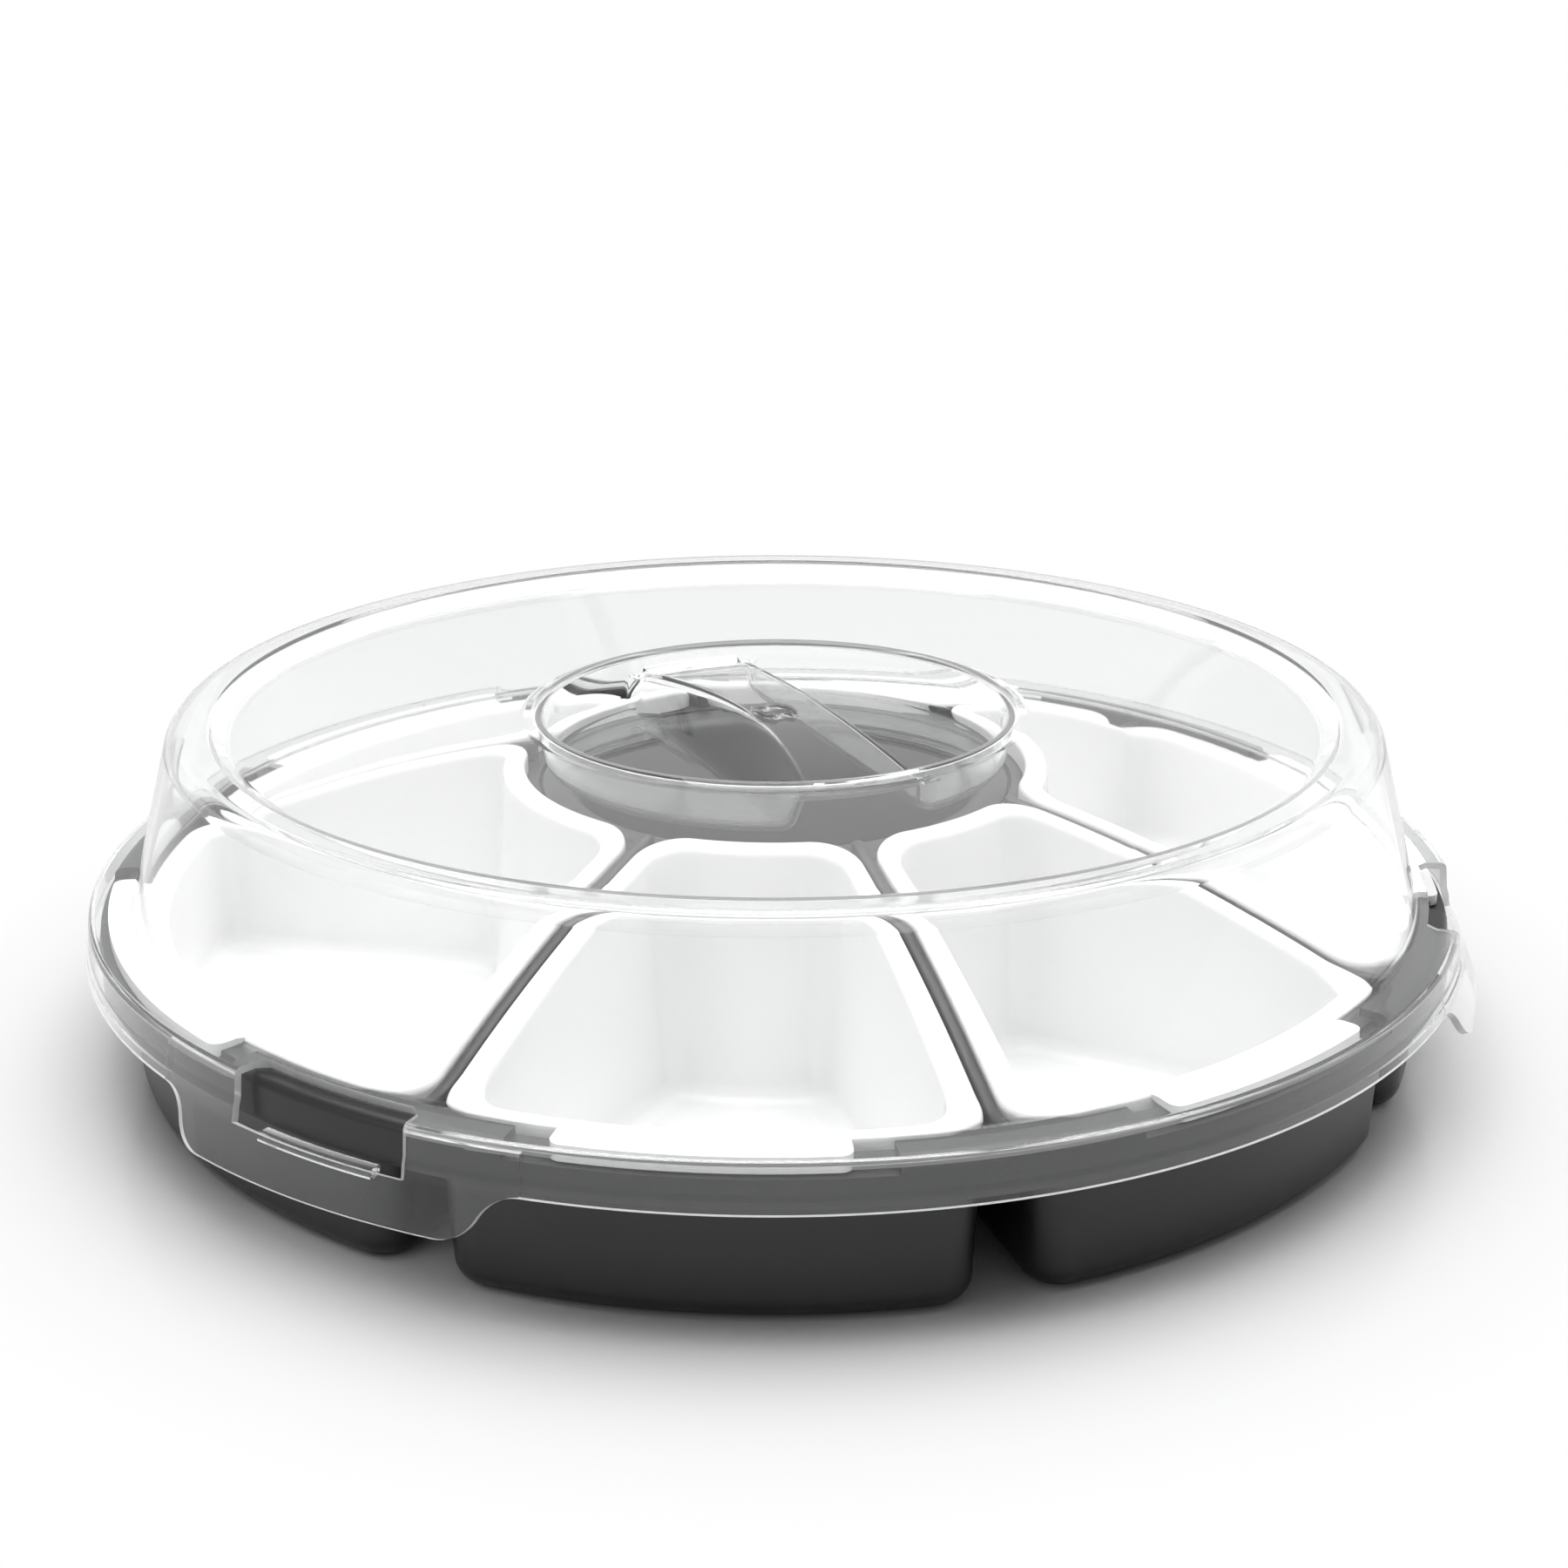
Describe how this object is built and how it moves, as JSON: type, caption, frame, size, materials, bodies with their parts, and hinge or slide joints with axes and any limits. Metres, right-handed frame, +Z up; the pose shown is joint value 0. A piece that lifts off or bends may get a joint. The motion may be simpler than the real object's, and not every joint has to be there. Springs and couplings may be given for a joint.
{
  "type": "snack tray with lid",
  "caption": "Round divided serving tray: dark base, white lift-out compartment trays round a dip bowl, and a clear domed lid with a recessed grip bar and snap tabs.",
  "frame": {"origin": "on the table, under the middle of the round base", "axes": "+Z up; the front of the tray, where the two small trays meet, faces -Y; +X to the right"},
  "size_m": [0.3638, 0.368, 0.0886],
  "materials": {
    "charcoal_plastic": "satin charcoal polypropylene",
    "white_plastic": "smooth bright white polypropylene",
    "clear_plastic": "clear polished polystyrene"
  },
  "bodies": {
    "base": {"base_centre": "charcoal_plastic", "base_small_well_right": "charcoal_plastic", "base_large_well_right": "charcoal_plastic", "base_back_well_right": "charcoal_plastic", "base_back_well_left": "charcoal_plastic", "base_large_well_left": "charcoal_plastic", "base_small_well_left": "charcoal_plastic"},
    "lid": {"lid_shell": "clear_plastic"},
    "small_tray_left_body": {"small_tray_left": "white_plastic"},
    "small_tray_right_body": {"small_tray_right": "white_plastic"},
    "large_tray_left_body": {"large_tray_left": "white_plastic"},
    "large_tray_right_body": {"large_tray_right": "white_plastic"},
    "back_tray_left_body": {"back_tray_left": "white_plastic"},
    "back_tray_right_body": {"back_tray_right": "white_plastic"},
    "bowl": {"dip_bowl": "charcoal_plastic"},
    "latch_left": {"latch_tab_left": "clear_plastic"},
    "latch_right": {"latch_tab_right": "clear_plastic"},
    "latch_back": {"latch_tab_back": "clear_plastic"}
  },
  "joints": [
    {"name": "lid_lift", "type": "slide", "parent": "base", "child": "lid", "axis": [0, 0, 1], "range_m": [0, 0.2]},
    {"name": "small_tray_left_lift", "type": "slide", "parent": "base", "child": "small_tray_left_body", "axis": [0, 0, 1], "range_m": [0, 0.09]},
    {"name": "small_tray_right_lift", "type": "slide", "parent": "base", "child": "small_tray_right_body", "axis": [0, 0, 1], "range_m": [0, 0.09]},
    {"name": "large_tray_left_lift", "type": "slide", "parent": "base", "child": "large_tray_left_body", "axis": [0, 0, 1], "range_m": [0, 0.09]},
    {"name": "large_tray_right_lift", "type": "slide", "parent": "base", "child": "large_tray_right_body", "axis": [0, 0, 1], "range_m": [0, 0.09]},
    {"name": "back_tray_left_lift", "type": "slide", "parent": "base", "child": "back_tray_left_body", "axis": [0, 0, 1], "range_m": [0, 0.09]},
    {"name": "back_tray_right_lift", "type": "slide", "parent": "base", "child": "back_tray_right_body", "axis": [0, 0, 1], "range_m": [0, 0.09]},
    {"name": "dip_bowl_lift", "type": "slide", "parent": "base", "child": "bowl", "axis": [0, 0, 1], "range_m": [0, 0.09]},
    {"name": "latch_tab_left_bend", "type": "hinge", "parent": "lid", "child": "latch_left", "pos_m": [-0.13978, -0.11401, 0.0418], "axis": [-0.632, 0.7749, 0], "range_deg": [0, 12], "stiffness_Nm_per_rad": 2},
    {"name": "latch_tab_right_bend", "type": "hinge", "parent": "lid", "child": "latch_right", "pos_m": [0.15956, -0.08413, 0.0418], "axis": [-0.4664, -0.8846, 0], "range_deg": [0, 12], "stiffness_Nm_per_rad": 2},
    {"name": "latch_tab_back_bend", "type": "hinge", "parent": "lid", "child": "latch_back", "pos_m": [-0.01792, 0.17949, 0.0418], "axis": [0.9951, 0.0993, 0], "range_deg": [0, 12], "stiffness_Nm_per_rad": 2}
  ],
  "couplings": [
    {"joint": "small_tray_left_lift", "follows": "lid_lift", "ratio": 0.45},
    {"joint": "small_tray_right_lift", "follows": "lid_lift", "ratio": 0.45},
    {"joint": "large_tray_left_lift", "follows": "lid_lift", "ratio": 0.45},
    {"joint": "large_tray_right_lift", "follows": "lid_lift", "ratio": 0.45},
    {"joint": "back_tray_left_lift", "follows": "lid_lift", "ratio": 0.45},
    {"joint": "back_tray_right_lift", "follows": "lid_lift", "ratio": 0.45},
    {"joint": "dip_bowl_lift", "follows": "lid_lift", "ratio": 0.45}
  ]
}
